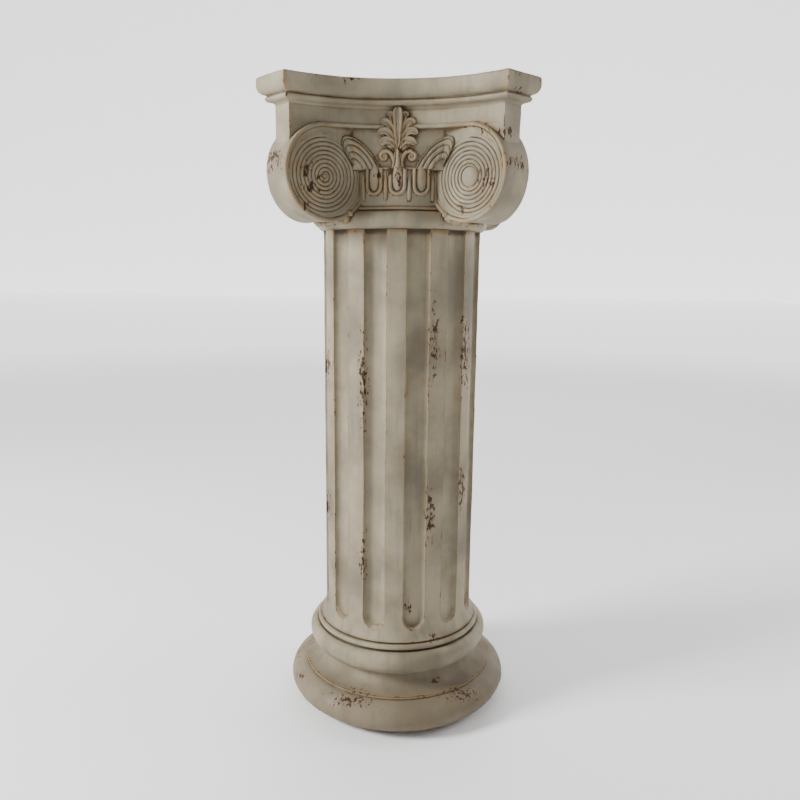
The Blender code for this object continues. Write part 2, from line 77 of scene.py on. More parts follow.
# %% Camera
FRAME_PIXELS = 800
FOCAL_PIXELS = 750.0
SENSOR = 36.0
CAMERA_PLACE = (0.0631, -1.1286, 0.6675)
CAMERA_PITCH = 10.18
CAMERA_YAW = 3.2
CAMERA_ROLL = 0.62
bpy.ops.object.select_all(action='DESELECT')
bpy.ops.object.camera_add()
camera = bpy.context.object
camera.name = "photo_camera"
camera.data.sensor_width = SENSOR
camera.data.lens = SENSOR * FOCAL_PIXELS / FRAME_PIXELS
turn = Matrix.Rotation(math.radians(CAMERA_YAW), 4, 'Z')
tilt = Matrix.Rotation(math.radians(90.0 - CAMERA_PITCH), 4, 'X')
roll = Matrix.Rotation(math.radians(CAMERA_ROLL), 4, 'Z')
camera.matrix_world = Matrix.Translation(CAMERA_PLACE) @ turn @ tilt @ roll
bpy.context.scene.camera = camera
print("lens", round(camera.data.lens, 2), "mm")

# %% [markdown]
# Most forms here are made in one of two ways. A turned form is a chain of vertices, extruded point by
# point, and spun about the axis. Any other form is a skin through rings: a filled circle is added,
# extruded once for each further ring, and then each ring's vertices are moved to their places.
# After either, doubles are merged, the normals are recalculated and the faces are shaded smooth.

# %% Helpers for making pieces
SMOOTH_ANGLE = 38.0
WELD = 0.00001


def pick(*pieces):
    bpy.ops.object.select_all(action='DESELECT')
    for piece in pieces:
        piece.select_set(True)
    bpy.context.view_layer.objects.active = pieces[0]


def tidied(piece, name, angle=SMOOTH_ANGLE):
    """Merge doubles, point the faces outwards and shade smooth up to an angle."""
    pick(piece)
    bpy.ops.object.mode_set(mode='EDIT')
    bpy.ops.mesh.select_all(action='SELECT')
    bpy.ops.mesh.remove_doubles(threshold=WELD)
    bpy.ops.mesh.normals_make_consistent(inside=False)
    bpy.ops.object.mode_set(mode='OBJECT')
    bpy.ops.object.shade_smooth_by_angle(angle=math.radians(angle))
    piece.name = name
    piece.data.name = name
    return piece


def places_of(piece):
    flat = np.empty(3 * len(piece.data.vertices))
    piece.data.vertices.foreach_get("co", flat)
    return flat.reshape(-1, 3)


def put_places(piece, places):
    piece.data.vertices.foreach_set("co", np.ascontiguousarray(places, np.float32).ravel())
    piece.data.update()


def spun(name, profile, steps):
    """Turn a profile of (radius, height) points about the column's axis."""
    bpy.ops.object.select_all(action='DESELECT')
    bpy.ops.mesh.primitive_plane_add(size=0.01, location=(0.0, 0.0, 0.0), enter_editmode=True)
    bpy.ops.mesh.merge(type='CENTER')
    points = [Vector((radius, 0.0, height)) for radius, height in profile]
    bpy.ops.transform.translate(value=points[0])
    for before, after in zip(points, points[1:]):
        bpy.ops.mesh.extrude_vertices_move(TRANSFORM_OT_translate={"value": after - before})
    bpy.ops.mesh.select_all(action='SELECT')
    bpy.ops.mesh.spin(steps=steps, angle=math.tau, center=(0.0, 0.0, 0.0), axis=(0.0, 0.0, 1.0))
    bpy.ops.object.mode_set(mode='OBJECT')
    return tidied(bpy.context.object, name)


def skinned(name, rings, angle=SMOOTH_ANGLE):
    """A closed skin through rings of equally many points."""
    rings = np.array(rings, float)
    count = rings.shape[1]
    bpy.ops.object.select_all(action='DESELECT')
    bpy.ops.mesh.primitive_circle_add(vertices=count, radius=1.0, fill_type='NGON', enter_editmode=True)
    for _ in rings[1:]:
        bpy.ops.mesh.extrude_region_move(TRANSFORM_OT_translate={"value": (0.0, 0.0, 1.0)})
    bpy.ops.object.mode_set(mode='OBJECT')
    piece = bpy.context.object
    raw = places_of(piece)
    levels = np.rint(raw[:, 2]).astype(int)
    around = np.arctan2(raw[:, 1], raw[:, 0])
    columns = np.rint((around - around.min()) / math.tau * count).astype(int) % count
    put_places(piece, rings[levels, columns])
    return tidied(piece, name, angle)


def joined(pieces, name):
    pick(*pieces)
    if len(pieces) > 1:
        bpy.ops.object.join()
    pieces[0].name = name
    pieces[0].data.name = name
    return pieces[0]


def repeated(piece, name, angles):
    """Copies of a piece, turned about the column's axis and joined."""
    copies = []
    for angle in angles:
        pick(piece)
        bpy.ops.object.duplicate()
        copy = bpy.context.object
        copy.data.transform(Matrix.Rotation(math.radians(angle), 4, 'Z'))
        copies.append(copy)
    bpy.data.objects.remove(piece)
    return joined(copies, name)


def arc(centre_x, centre_y, radius_x, radius_y, start, end, steps):
    angles = np.radians(np.linspace(start, end, steps + 1))
    return [(centre_x + radius_x * math.cos(a), centre_y + radius_y * math.sin(a)) for a in angles]


def bezier(controls, share):
    points = [Vector(control) for control in controls]
    while len(points) > 1:
        points = [first.lerp(second, share) for first, second in zip(points, points[1:])]
    return points[0]


def filled(points, gap):
    """Add points so that none are further apart than the gap."""
    dense = [points[0]]
    for (x0, y0), (x1, y1) in zip(points, points[1:]):
        count = max(1, math.ceil(math.hypot(x1 - x0, y1 - y0) / gap))
        dense += [(x0 + (x1 - x0) * i / count, y0 + (y1 - y0) * i / count) for i in range(1, count + 1)]
    return dense


FOUR_SIDES = (0, 90, 180, 270)
FOUR_CORNERS = (45, 135, 225, 315)

# %% [markdown]
# The base, shaft, ring and drum were turned on one axis, so one profile spins them all. The base is
# a fat round with a scribed lip, a hollow, a smaller round and a bead, each parted by a fine groove
# that caught the tan wash. The columns of the spun mesh are a degree apart.

# %% Sizes of the turned body
SHAFT_FOOT_RADIUS = 0.1136
SHAFT_HEAD_RADIUS = 0.1146
BASE_TOP = 0.1263
SHAFT_TOP = 0.7156
DRUM_TOP = 0.7934
DRUM_RADIUS = 0.1120
DRUM_FLANK_TOP = 0.7914
DRUM_FLANK_FOOT = 0.7440
FLUTE_END_TOP = 0.1820
BODY_COLUMNS = 360

# The most that two points of the profile lie apart
SHAFT_GAP = 0.0085
DRUM_GAP = 0.0040
MOULDING_GAP = 0.0035
FLUTE_END_GAP = 0.0016

# Each arc: the radius and height of its centre, its half width and its half height
FLARE = (0.1210, 0.1603, 0.0074, 0.0310)
BEAD = (0.1222, 0.1213, 0.0046, 0.0042)
UPPER_ROUND_ABOVE = (0.1262, 0.1045, 0.0121, 0.0119)
UPPER_ROUND_BELOW = (0.1180, 0.1040, 0.0203, 0.0238)
HOLLOW = (0.1452, 0.0797, 0.0272, 0.0242)
FOOT_ROUND_ABOVE = (0.1192, 0.0290, 0.0496, 0.0283)
FOOT_ROUND_BELOW = (0.1192, 0.0290, 0.0496, 0.0290)
RING = (0.1142, 0.7270, 0.0098, 0.0114)

# Each seam between two mouldings: radius and height of its points
FLARE_GROOVE = ((0.1214, 0.1287), (0.1212, 0.1279), (0.1200, 0.1272), (0.1196, 0.1262), (0.1204, 0.1256))
BEAD_GROOVE = ((0.1232, 0.1169), (0.1240, 0.1160))
HOLLOW_THROAT = (0.1172, 0.0800)
SCRIBED_LIP = ((0.1430, 0.0550), (0.1446, 0.0547), (0.1452, 0.0536), (0.1446, 0.0526), (0.1452, 0.0519))
UNDERSIDE_RIM = (0.1190, 0.0)
DRUM_LEDGE = ((0.1128, DRUM_TOP), (0.1132, 0.7926), (0.1128, 0.7918))
DRUM_FILLET = ((0.1138, 0.7434), (0.1146, 0.7425), (0.1146, 0.7404), (0.1136, 0.7396), (0.1132, 0.7386))
RING_SEAT = (0.1138, SHAFT_TOP)
SHAFT_HEAD = (SHAFT_HEAD_RADIUS, SHAFT_TOP - 0.0004)


# %% Profile of the turned body
def head_profile():
    """From the drum's top down to the shaft's head."""
    points = [(0.0, DRUM_TOP), *DRUM_LEDGE, (DRUM_RADIUS, DRUM_FLANK_TOP)]
    points += filled([(DRUM_RADIUS, DRUM_FLANK_TOP), (DRUM_RADIUS, DRUM_FLANK_FOOT)], DRUM_GAP)[1:]
    points += DRUM_FILLET
    points += arc(*RING, 82, -82, 20)
    return points + [RING_SEAT, SHAFT_HEAD]


def base_profile():
    """From the shaft's foot down to the rim of the underside."""
    points = arc(*FLARE, 180, 270, 12)
    points += FLARE_GROOVE
    points += arc(*BEAD, 84, -70, 12)
    points += BEAD_GROOVE
    points += arc(*UPPER_ROUND_ABOVE, 82, 0, 14)
    points += arc(*UPPER_ROUND_BELOW, -4, -88, 16)
    points.append(HOLLOW_THROAT)
    points += arc(*HOLLOW, 184, 266, 14)
    points += SCRIBED_LIP
    points += arc(*FOOT_ROUND_ABOVE, 54, 0, 18)[1:]
    points += arc(*FOOT_ROUND_BELOW, -3, -84, 20)
    return points + [UNDERSIDE_RIM]


straight = filled([SHAFT_HEAD, (SHAFT_FOOT_RADIUS, FLUTE_END_TOP)], SHAFT_GAP)
ending = filled([(SHAFT_FOOT_RADIUS, FLUTE_END_TOP), (SHAFT_FOOT_RADIUS, FLARE[1])], FLUTE_END_GAP)
base = filled(base_profile(), MOULDING_GAP)
body_profile = head_profile() + straight[1:] + ending[1:] + base[1:] + [(0.0, 0.0)]
shaft = spun("shaft_and_base", body_profile, BODY_COLUMNS)
print("turned body:", len(body_profile), "points in the profile,", len(shaft.data.polygons), "faces")

# %% [markdown]
# The flutes are channels with steep walls and a rounded bottom. They could be cut with Booleans, but
# moving the spun vertices keeps an even net: each vertex is pulled in by how far it lies from the
# flute's middle line, or from its end's centre. The columns are crowded towards the edges first, and
# a soft edge keeps the look of a casting. A slow wander in width and depth makes the mould uneven.

# %% Flutes
FLUTE_COUNT = 12
FLUTE_HALF_WIDTH = 0.0165
FLUTE_DEPTH = 0.0100
FLUTE_FOOT = BASE_TOP + 0.0181 + FLUTE_HALF_WIDTH
FLUTE_SQUARENESS = 3.2
FLUTE_EDGE_COLUMN = 8.0
EDGE_CROWDING = 1.6
EDGE_SOFTNESS = 0.0009


def soft_min(one, other, width):
    near = np.clip(width - np.abs(one - other), 0.0, None) / width
    return np.minimum(one, other) - near ** 2 * width / 4


def cut_flutes(piece):
    places = places_of(piece)
    radius = np.hypot(places[:, 0], places[:, 1])
    angle = np.degrees(np.arctan2(places[:, 1], places[:, 0]))
    pitch = 360.0 / FLUTE_COUNT
    index = np.floor(angle / pitch)
    middle = (index + 0.5) * pitch
    offset = angle - middle
    height = places[:, 2]
    wander = 0.018 * np.sin(height * 21.0 + index * 2.1) + 0.012 * np.sin(height * 47.0 + index * 4.7)
    half = FLUTE_HALF_WIDTH * (1.0 + wander)
    depth = FLUTE_DEPTH * (1.0 + 1.5 * wander)
    edge = np.degrees(np.arcsin(half / SHAFT_HEAD_RADIUS))
    inside = np.abs(offset) <= FLUTE_EDGE_COLUMN
    rest = (np.abs(offset) - FLUTE_EDGE_COLUMN) / (pitch / 2 - FLUTE_EDGE_COLUMN)
    crowded = 1.0 - (1.0 - np.clip(np.abs(offset) / FLUTE_EDGE_COLUMN, 0.0, 1.0)) ** EDGE_CROWDING
    spread = np.where(inside, crowded * edge, edge + rest * (pitch / 2 - edge))
    fluted = (height < SHAFT_TOP - 0.0002) & (height > BASE_TOP + 0.004)
    offset = np.where(fluted, np.sign(offset) * spread, offset)
    below = np.clip(FLUTE_FOOT - height, 0.0, None)
    across = SHAFT_HEAD_RADIUS * np.sin(np.radians(offset))
    share = np.hypot(across, below) / half
    cut = SHAFT_HEAD_RADIUS - depth * np.sqrt(np.clip(1.0 - share ** FLUTE_SQUARENESS, 0.0, None))
    cut = np.where((share < 1.0) & fluted, cut, 1.0)
    radius = soft_min(radius, cut, EDGE_SOFTNESS)
    turned = np.radians(middle + offset)
    put_places(piece, np.column_stack([radius * np.cos(turned), radius * np.sin(turned), height]))
    return tidied(piece, piece.name, 30.0)


shaft = cut_flutes(shaft)
print("fluted body:", len(shaft.data.vertices), "vertices")

# %% [markdown]
# The neck and abacus share one outline, a square with hollow sides and cut corners. Each moulding
# steps out from it by an offset, so the whole top is one skin through outlines at rising heights.

# %% Hollow-sided outline
NECK_HALF_WIDTH = 0.1115
CORNER_REACH = 0.2045
CORNER_WIDTH = 0.0310
DIAGONAL = math.sqrt(0.5)
SIDE_STEPS = 44
CORNER_STEPS = 14
half_length = (CORNER_REACH - CORNER_WIDTH / 2) * DIAGONAL
rise = (CORNER_REACH + CORNER_WIDTH / 2) * DIAGONAL - NECK_HALF_WIDTH
SIDE_RADIUS = (half_length ** 2 + rise ** 2) / (2 * rise)
SIDE_CENTRE = NECK_HALF_WIDTH + SIDE_RADIUS


def outline_half_width(reach, offset=0.0):
    """Half the outline's width across a diagonal, at a distance from the axis."""
    wide = SIDE_CENTRE / DIAGONAL
    rest = reach ** 2 - wide * reach + SIDE_CENTRE ** 2 - (SIDE_RADIUS - offset) ** 2
    return (wide - math.sqrt(wide ** 2 - 4 * rest)) / 2


def outline(offset, height):
    """The outline moved outwards by the offset, once round."""
    shrunk = SIDE_RADIUS - offset
    reach = CORNER_REACH + offset
    corner = (reach - outline_half_width(reach, offset)) * DIAGONAL
    spread = math.asin(corner / shrunk)
    points = []
    for side in range(4):
        turn = Matrix.Rotation(math.radians(90 * side), 3, 'Z')
        front = []
        for step in range(SIDE_STEPS + 1):
            angle = spread * (2 * step / SIDE_STEPS - 1)
            front.append(Vector((shrunk * math.sin(angle), shrunk * math.cos(angle) - SIDE_CENTRE, height)))
        end = front[-1]
        after = Vector((-front[0].y, front[0].x, height))
        front += [end.lerp(after, step / CORNER_STEPS) for step in range(1, CORNER_STEPS)]
        points += [turn @ point for point in front]
    return points


# %% Neck and abacus
BAND_FOOT = 0.8420
NECK_FOOT = 0.8470
NECK_TOP = 0.8670
ABACUS_ROUND_TOP = 0.8895
ABACUS_ROUND_START = 0.0086
ABACUS_PROJECTION = 0.0180
TOP_ROUND = 0.0042

# Each arc: how far its centre stands out from the neck, its height, its half width and half height
ABACUS_COVE = (0.0092, NECK_TOP - 0.0012, 0.0088, 0.0038)
ABACUS_BEAD = (0.0070, 0.8730, 0.0030, 0.0032)
ABACUS_GROOVE = ((0.0084, 0.8766), (0.0090, 0.8773))
ABACUS_ROUND = (ABACUS_ROUND_START, ABACUS_ROUND_TOP, ABACUS_PROJECTION - ABACUS_ROUND_START, 0.0119)
ABACUS_EDGE = (ABACUS_PROJECTION - TOP_ROUND, TOP - TOP_ROUND, TOP_ROUND, TOP_ROUND)
TOP_INSETS = (-0.02, -0.05)

abacus_levels = [(0.0, height) for height in np.linspace(BAND_FOOT + 0.001, NECK_TOP - 0.0015, 11)]
abacus_levels += arc(*ABACUS_COVE, 175, 100, 7)
abacus_levels += arc(*ABACUS_BEAD, -62, 70, 7)
abacus_levels += ABACUS_GROOVE
abacus_levels += arc(*ABACUS_ROUND, -80, 0, 10)
abacus_levels += arc(*ABACUS_EDGE, 0, 90, 8)
abacus_levels += [(inset, TOP) for inset in TOP_INSETS]
abacus = skinned("abacus", [outline(offset, height) for offset, height in abacus_levels], 32.0)
print("abacus:", len(abacus.data.polygons), "faces, top at", round(places_of(abacus)[:, 2].max(), 4))

# %% [markdown]
# Long rounded members, such as the raised band, stems, scrolls and the shells of the eggs, are one
# section drawn along a path. The section's first number goes across the path and its second stands
# out from the face behind it.

# %% Helper for members drawn along a path
ROUND = [(math.cos(a), math.sin(a)) for a in np.linspace(0.0, math.tau, 15)[:-1]]
SPOON_RIM = [(1.0, 0.0), (0.97, 0.55), (0.86, 0.92), (0.72, 1.0), (0.56, 0.86)]
SPOON_TOP = SPOON_RIM + [(0.4, 0.5), (0.2, 0.3), (0.0, 0.24)]
SPOON = SPOON_TOP + [(-u, v) for u, v in reversed(SPOON_TOP[:-1])] + [(-0.7, -1.0), (0.0, -1.2), (0.7, -1.0)]


def drawn_along(name, path, widths, heights, section=ROUND, out=(0.0, -1.0, 0.0), angle=SMOOTH_ANGLE):
    """The section along the path: half widths and heights are given for every point."""
    path = [Vector(point) for point in path]
    out = Vector(out)
    rings = []
    for index, point in enumerate(path):
        ahead = path[min(index + 1, len(path) - 1)] - path[max(index - 1, 0)]
        side = ahead.cross(out).normalized()
        rings.append([point + side * u * widths[index] + out * v * heights[index] for u, v in section])
    return skinned(name, rings, angle)


# %% Plain block behind the carving
CANALIS_HALF = 0.1065
CANALIS_MIDDLE = (0.0, 0.0, 0.8180)
CANALIS_SIZE = (2 * CANALIS_HALF, 2 * CANALIS_HALF, 0.054)
CANALIS_CUTS = 70
bpy.ops.object.select_all(action='DESELECT')
bpy.ops.mesh.primitive_cube_add(size=1.0, location=CANALIS_MIDDLE, scale=CANALIS_SIZE)
block = bpy.context.object
bpy.ops.object.transform_apply(location=True, rotation=True, scale=True)
bpy.ops.object.mode_set(mode='EDIT')
bpy.ops.mesh.select_all(action='SELECT')
bpy.ops.mesh.subdivide(number_cuts=CANALIS_CUTS)
bpy.ops.object.mode_set(mode='OBJECT')
block = tidied(block, "canalis")
print("block made")

# %% [markdown]
# A volute is a wedge along the diagonal with a round outer end. Each of its faces has a raised rim,
# a smooth crescent inside it, and a spiral of shallow rolls. On the right-hand disc of each side it
# ends at a domed eye, and on the left-hand one it winds on to the middle. The skin here runs from the
# middle of one face out over the rim, across the band and back to the middle of the other, so the
# spiral is a height that depends on how far and at which angle a vertex lies from the eye.

# %% Volutes
VOLUTE_RADIUS = 0.0625
VOLUTE_REACH = 0.1535
VOLUTE_HEIGHT = 0.7850
VOLUTE_HALF_THICKNESS = 0.0225
VOLUTE_FLARE = 0.12
VOLUTE_END = VOLUTE_REACH + VOLUTE_RADIUS
EYE_REACH = 0.1588
EYE_HEIGHT = 0.7803
EYE_RADII = {-1: 0.0130, 1: 0.0030}
BAR_TOP = 0.8472
BAR_INNER = 0.0950
RIM_WIDTH = 0.0060
FACE_SINK = 0.0026
SPIRAL_PITCH = 0.0053
SPIRAL_TURNS = 9.9
SPIRAL_RELIEF = 0.0021
VOLUTE_COLUMNS = 100
SPIRAL_RINGS = 84

# The rim's section: how far across it, and how high over the wedge's plain face
RIM_FOOT = ((0.04, -FACE_SINK), (0.12, -FACE_SINK * 0.35))
RIM_SHAPE = RIM_FOOT + ((0.3, 0.0), (0.55, 0.0004), (0.8, 0.0), (0.95, -0.0008))


def volute_rim_distance(angle):
    """How far the outline is from the eye, with the angle from upright towards the outer end."""
    ahead, up = math.sin(angle), math.cos(angle)
    shift_x, shift_z = EYE_REACH - VOLUTE_REACH, EYE_HEIGHT - VOLUTE_HEIGHT
    along = shift_x * ahead + shift_z * up
    rest = shift_x ** 2 + shift_z ** 2 - VOLUTE_RADIUS ** 2
    to_round = -along + math.sqrt(along ** 2 - rest)
    if ahead < -0.001 and up > 0.001:
        return max(to_round, min((BAR_TOP - EYE_HEIGHT) / up, (EYE_REACH - BAR_INNER) / -ahead))
    return to_round


def spiral_lift(distance, angle, eye_radius):
    """Height of the carved face over its sunk plane."""
    if distance < eye_radius:
        return 0.0030 * math.sqrt(1.0 - (distance / eye_radius) ** 2) - 0.0008
    turns = distance / SPIRAL_PITCH + angle / math.tau
    if turns > SPIRAL_TURNS:
        return SPIRAL_RELIEF * 0.75
    phase = turns % 1.0
    return SPIRAL_RELIEF * (1.0 - abs(2.0 * phase - 1.0) ** 4) - 0.0003


def volute_point(sign, reach, height, lift):
    slope = lift / math.hypot(1.0, VOLUTE_FLARE)
    across = VOLUTE_HALF_THICKNESS + VOLUTE_FLARE * (VOLUTE_END - reach) + slope
    return reach + slope * VOLUTE_FLARE, sign * across, height


def volute_face_rings(sign):
    """Rings from the eye's middle out to the top of the rim."""
    rings = []
    angles = [math.tau * column / VOLUTE_COLUMNS for column in range(VOLUTE_COLUMNS)]
    ends = [volute_rim_distance(angle) for angle in angles]
    spiral_end = SPIRAL_PITCH * SPIRAL_TURNS
    steps = [spiral_end * i / SPIRAL_RINGS for i in range(SPIRAL_RINGS + 1)]
    for distance in steps:
        lifts = [spiral_lift(distance, angle, EYE_RADII[sign]) - FACE_SINK for angle in angles]
        rings.append([(distance, lift) for lift in lifts])
    for share in (0.25, 0.5, 0.75, 1.0):
        ring = []
        for end in ends:
            distance = spiral_end + (end - RIM_WIDTH - spiral_end) * share
            ring.append((distance, SPIRAL_RELIEF * 0.75 - FACE_SINK - 0.0007 * math.sin(share * math.pi)))
        rings.append(ring)
    for share, lift in RIM_SHAPE:
        rings.append([(end - RIM_WIDTH * (1.0 - share), lift) for end in ends])
    placed = []
    for ring in rings:
        points = []
        for angle, (distance, lift) in zip(angles, ring):
            reach, height = EYE_REACH + distance * math.sin(angle), EYE_HEIGHT + distance * math.cos(angle)
            points.append(volute_point(sign, reach, height, lift))
        placed.append(points)
    return placed


def volute_band_rings():
    """Rings across the round band, a little hollow between its two edges."""
    rings = []
    for across in np.linspace(-0.93, 0.93, 11):
        ring = []
        for column in range(VOLUTE_COLUMNS):
            angle = math.tau * column / VOLUTE_COLUMNS
            distance = volute_rim_distance(angle) - 0.0009 * (1.0 - across ** 2)
            reach, height = EYE_REACH + distance * math.sin(angle), EYE_HEIGHT + distance * math.cos(angle)
            point = volute_point(1, reach, height, 0.0)
            ring.append((point[0], point[1] * across, point[2]))
        rings.append(ring)
    return rings


volute = skinned("volute", volute_face_rings(-1) + volute_band_rings() + volute_face_rings(1)[::-1], 50.0)
volutes = repeated(volute, "volutes", FOUR_CORNERS)
print("volutes:", len(volutes.data.polygons), "faces")

# %% [markdown]
# The raised lip along the neck's foot runs on as the volutes' rims. It is one rounded member: its
# path follows the hollow side, and at both ends it goes on round the rim and sinks into it.

# %% Raised band
BAND_HALF = 0.0027
BAND_SINK = 0.0016
BAND_HEIGHT = 0.8444
BAND_STEPS = 60
BAND_TAIL = 14
TAIL_ANGLE = 66.0


def on_rim(sign, angle):
    """A place on the front face of a front volute's rim, with the angle from upright outwards."""
    distance = volute_rim_distance(angle) - RIM_WIDTH / 2
    reach, height = EYE_REACH + distance * math.sin(angle), EYE_HEIGHT + distance * math.cos(angle)
    along, across, height = volute_point(1, reach, height, -BAND_SINK * angle / math.radians(TAIL_ANGLE))
    return sign * DIAGONAL * (along - across), -DIAGONAL * (along + across), height


band_end = (VOLUTE_REACH - outline_half_width(VOLUTE_REACH)) * DIAGONAL
band_spread = math.asin(band_end / SIDE_RADIUS)
tail = [math.radians(TAIL_ANGLE) * (1.0 - step / BAND_TAIL) for step in range(BAND_TAIL)]
band_path = [on_rim(-1, angle) for angle in tail]
for step in range(BAND_STEPS + 1):
    angle = band_spread * (2 * step / BAND_STEPS - 1)
    depth = SIDE_RADIUS * math.cos(angle) - SIDE_CENTRE
    band_path.append((SIDE_RADIUS * math.sin(angle), depth, BAND_HEIGHT))
band_path += [on_rim(1, angle) for angle in reversed(tail)]
taper = [0.35 + 0.65 * step / BAND_TAIL for step in range(BAND_TAIL)]
band_widths = [BAND_HALF * share for share in taper + [1.0] * (BAND_STEPS + 1) + taper[::-1]]
band = drawn_along("raised_band", band_path, band_widths, band_widths)
band = repeated(band, "raised_band", FOUR_SIDES)

# %% [markdown]
# Over each volute the neck's cut corner runs down until it meets the round band. This web is a short
# skin: the corner's own outline above, and the same outline on the volute's curve below.

# %% Corner webs
WEB_SINK = 0.0060
web_side = [(reach, outline_half_width(reach)) for reach in np.linspace(0.150, CORNER_REACH - 0.0001, 24)]
web_end = [(web_side[-1][0], web_side[-1][1] * share) for share in np.linspace(1.0, -1.0, 15)[1:-1]]
web_outline = web_side + web_end + [(reach, -half) for reach, half in reversed(web_side)]
web_rings = []
for share in np.linspace(0.0, 1.0, 16):
    ring = []
    for reach, half in web_outline:
        foot = VOLUTE_HEIGHT + math.sqrt(VOLUTE_RADIUS ** 2 - (reach - VOLUTE_REACH) ** 2) - WEB_SINK
        ring.append((reach, half * 0.998, foot + (NECK_FOOT + 0.002 - foot) * share))
    web_rings.append(ring)
webs = repeated(skinned("corner_web", web_rings, 32.0), "corner_webs", FOUR_CORNERS)

# %% [markdown]
# The drum carries eggs in U-shaped shells with darts between. An egg is a sphere that is squeezed to
# its size, its shell is a rounded member drawn along a U, and a dart is one drawn upright that swells
# and thins. One set is modelled on the front of the drum and copied round it.

# %% Eggs and darts
EGG_HALF = 0.0118
EGG_LENGTH = 0.0357
EGG_STEP = 16.0


def scaled_ball(name, place, radii, segments=28, rings=16):
    bpy.ops.object.select_all(action='DESELECT')
    bpy.ops.mesh.primitive_uv_sphere_add(segments=segments, ring_count=rings, radius=1.0,
                                         location=place, scale=radii)
    bpy.ops.object.transform_apply(location=True, rotation=True, scale=True)
    return tidied(bpy.context.object, name, 180.0)


bend_height = DRUM_TOP - EGG_LENGTH + EGG_HALF
shell_half = EGG_HALF - 0.0023
shell_path = [(-shell_half, height) for height in np.linspace(DRUM_TOP - 0.0005, bend_height, 8)]
shell_path += arc(0.0, bend_height, shell_half, shell_half, 180, 360, 16)[1:]
shell_path += [(shell_half, height) for height in np.linspace(bend_height, DRUM_TOP - 0.0005, 8)[1:]]
shell_points = [(x, -math.sqrt(DRUM_RADIUS ** 2 - x ** 2), height) for x, height in shell_path]
shell = drawn_along("shell", shell_points, [0.0025] * len(shell_points), [0.0036] * len(shell_points))
egg = scaled_ball("egg", (0.0, 0.0005 - DRUM_RADIUS, DRUM_TOP - 0.0125), (0.0074, 0.0044, 0.0180))
egg_set = repeated(joined([shell, egg], "egg_set"), "egg_set", (-EGG_STEP, 0.0, EGG_STEP))
dart_rise = np.linspace(DRUM_TOP - 0.0415, DRUM_TOP - 0.0006, 12)
dart_path = [(0.0, -DRUM_RADIUS, height) for height in dart_rise]
dart_widths = [0.0006 + 0.0024 * math.sin(math.pi * min(1.0, 0.18 + i / 11)) ** 0.7 for i in range(12)]
dart = drawn_along("dart", dart_path, dart_widths, [width * 1.1 for width in dart_widths])
dart_set = repeated(dart, "dart_set", (-1.5 * EGG_STEP, -0.5 * EGG_STEP, 0.5 * EGG_STEP, 1.5 * EGG_STEP))
eggs = repeated(joined([egg_set, dart_set], "egg_and_dart"), "eggs_and_darts", FOUR_SIDES)
print("eggs and darts:", len(eggs.data.polygons), "faces")

# %% [markdown]
# The palmette in the middle of each side is a fan of spoon-shaped lobes that curl outwards, on a
# swelling body, over a stem that a scroll leaves on either side. Each lobe is the spoon section
# drawn along its own curve, widening towards its tip.

# %% Palmettes
WAIST = DRUM_TOP + 0.0220
FAN = 0.0530
LOBE_TIPS = ((0.0120, 0.0400), (0.0222, 0.0312), (0.0256, 0.0192), (0.0243, 0.0058))
LOBE_STEPS = 22
FAN_FRONT = 0.1128
SCROLL_RISE = [(0.0042, 0.0), (0.0046, 0.0150), (0.0100, 0.0250), (0.0195, 0.0225), (0.0228, 0.0160)]
CURL_X = 0.0184
CURL_RISE = 0.0143
CURL_RADII = (0.0028, 0.0036, 0.0028)
BODY_PLACE = (0.0, -0.1066, WAIST + 0.42 * FAN)
BODY_RADII = (0.0215, 0.0072, 0.0255)


def lobe_shape(steps, width):
    """Half widths from root to rounded tip."""
    widths = []
    for step in range(steps + 1):
        share = step / steps
        swell = 0.36 + 0.64 * math.sin(min(share / 0.8, 1.0) * math.pi / 2)
        end = math.sqrt(max(0.0, 1.0 - max(0.0, (share - 0.84) / 0.16) ** 2))
        widths.append(max(width * swell * end, 0.00008))
    return widths


def lobe(tip, sign):
    """A lobe that leans outwards and curls down to its tip."""
    tip_x, tip_z = tip
    controls = [(tip_x * 0.06, 0.001), (tip_x * 0.12, tip_z * 0.35 + 0.005)]
    controls += [(tip_x * 0.55, tip_z + 0.0135), (tip_x, tip_z)]
    path = []
    for step in range(LOBE_STEPS + 1):
        along = step / LOBE_STEPS
        spot = bezier(controls, along)
        lift = 0.0028 * math.sin(along * math.pi * 0.8) + 0.0014 * along ** 3
        path.append((sign * spot.x, -(FAN_FRONT - 0.0015 + lift), WAIST + spot.y))
    widths = lobe_shape(LOBE_STEPS, 0.0046)
    return drawn_along("lobe", path, widths, [0.0027 * min(1.0, w / 0.0027) for w in widths], SPOON)


def teardrop():
    """The middle lobe: a hooded rim round a drop."""
    rise = np.linspace(0.10 * FAN, FAN, LOBE_STEPS + 1)
    path = []
    for height in rise:
        share = height / FAN
        path.append((0.0, -(FAN_FRONT + 0.0010 + 0.0030 * math.sin(share * math.pi * 0.75)), WAIST + height))
    widths = lobe_shape(LOBE_STEPS, 0.0062)
    hood = drawn_along("hood", path, widths, [0.0030 * min(1.0, w / 0.0030) for w in widths], SPOON)
    drop_place = (0.0, -(FAN_FRONT + 0.0028), WAIST + 0.62 * FAN)
    drop = scaled_ball("drop", drop_place, (0.0028, 0.0026, 0.0135), 20, 14)
    return [hood, drop]


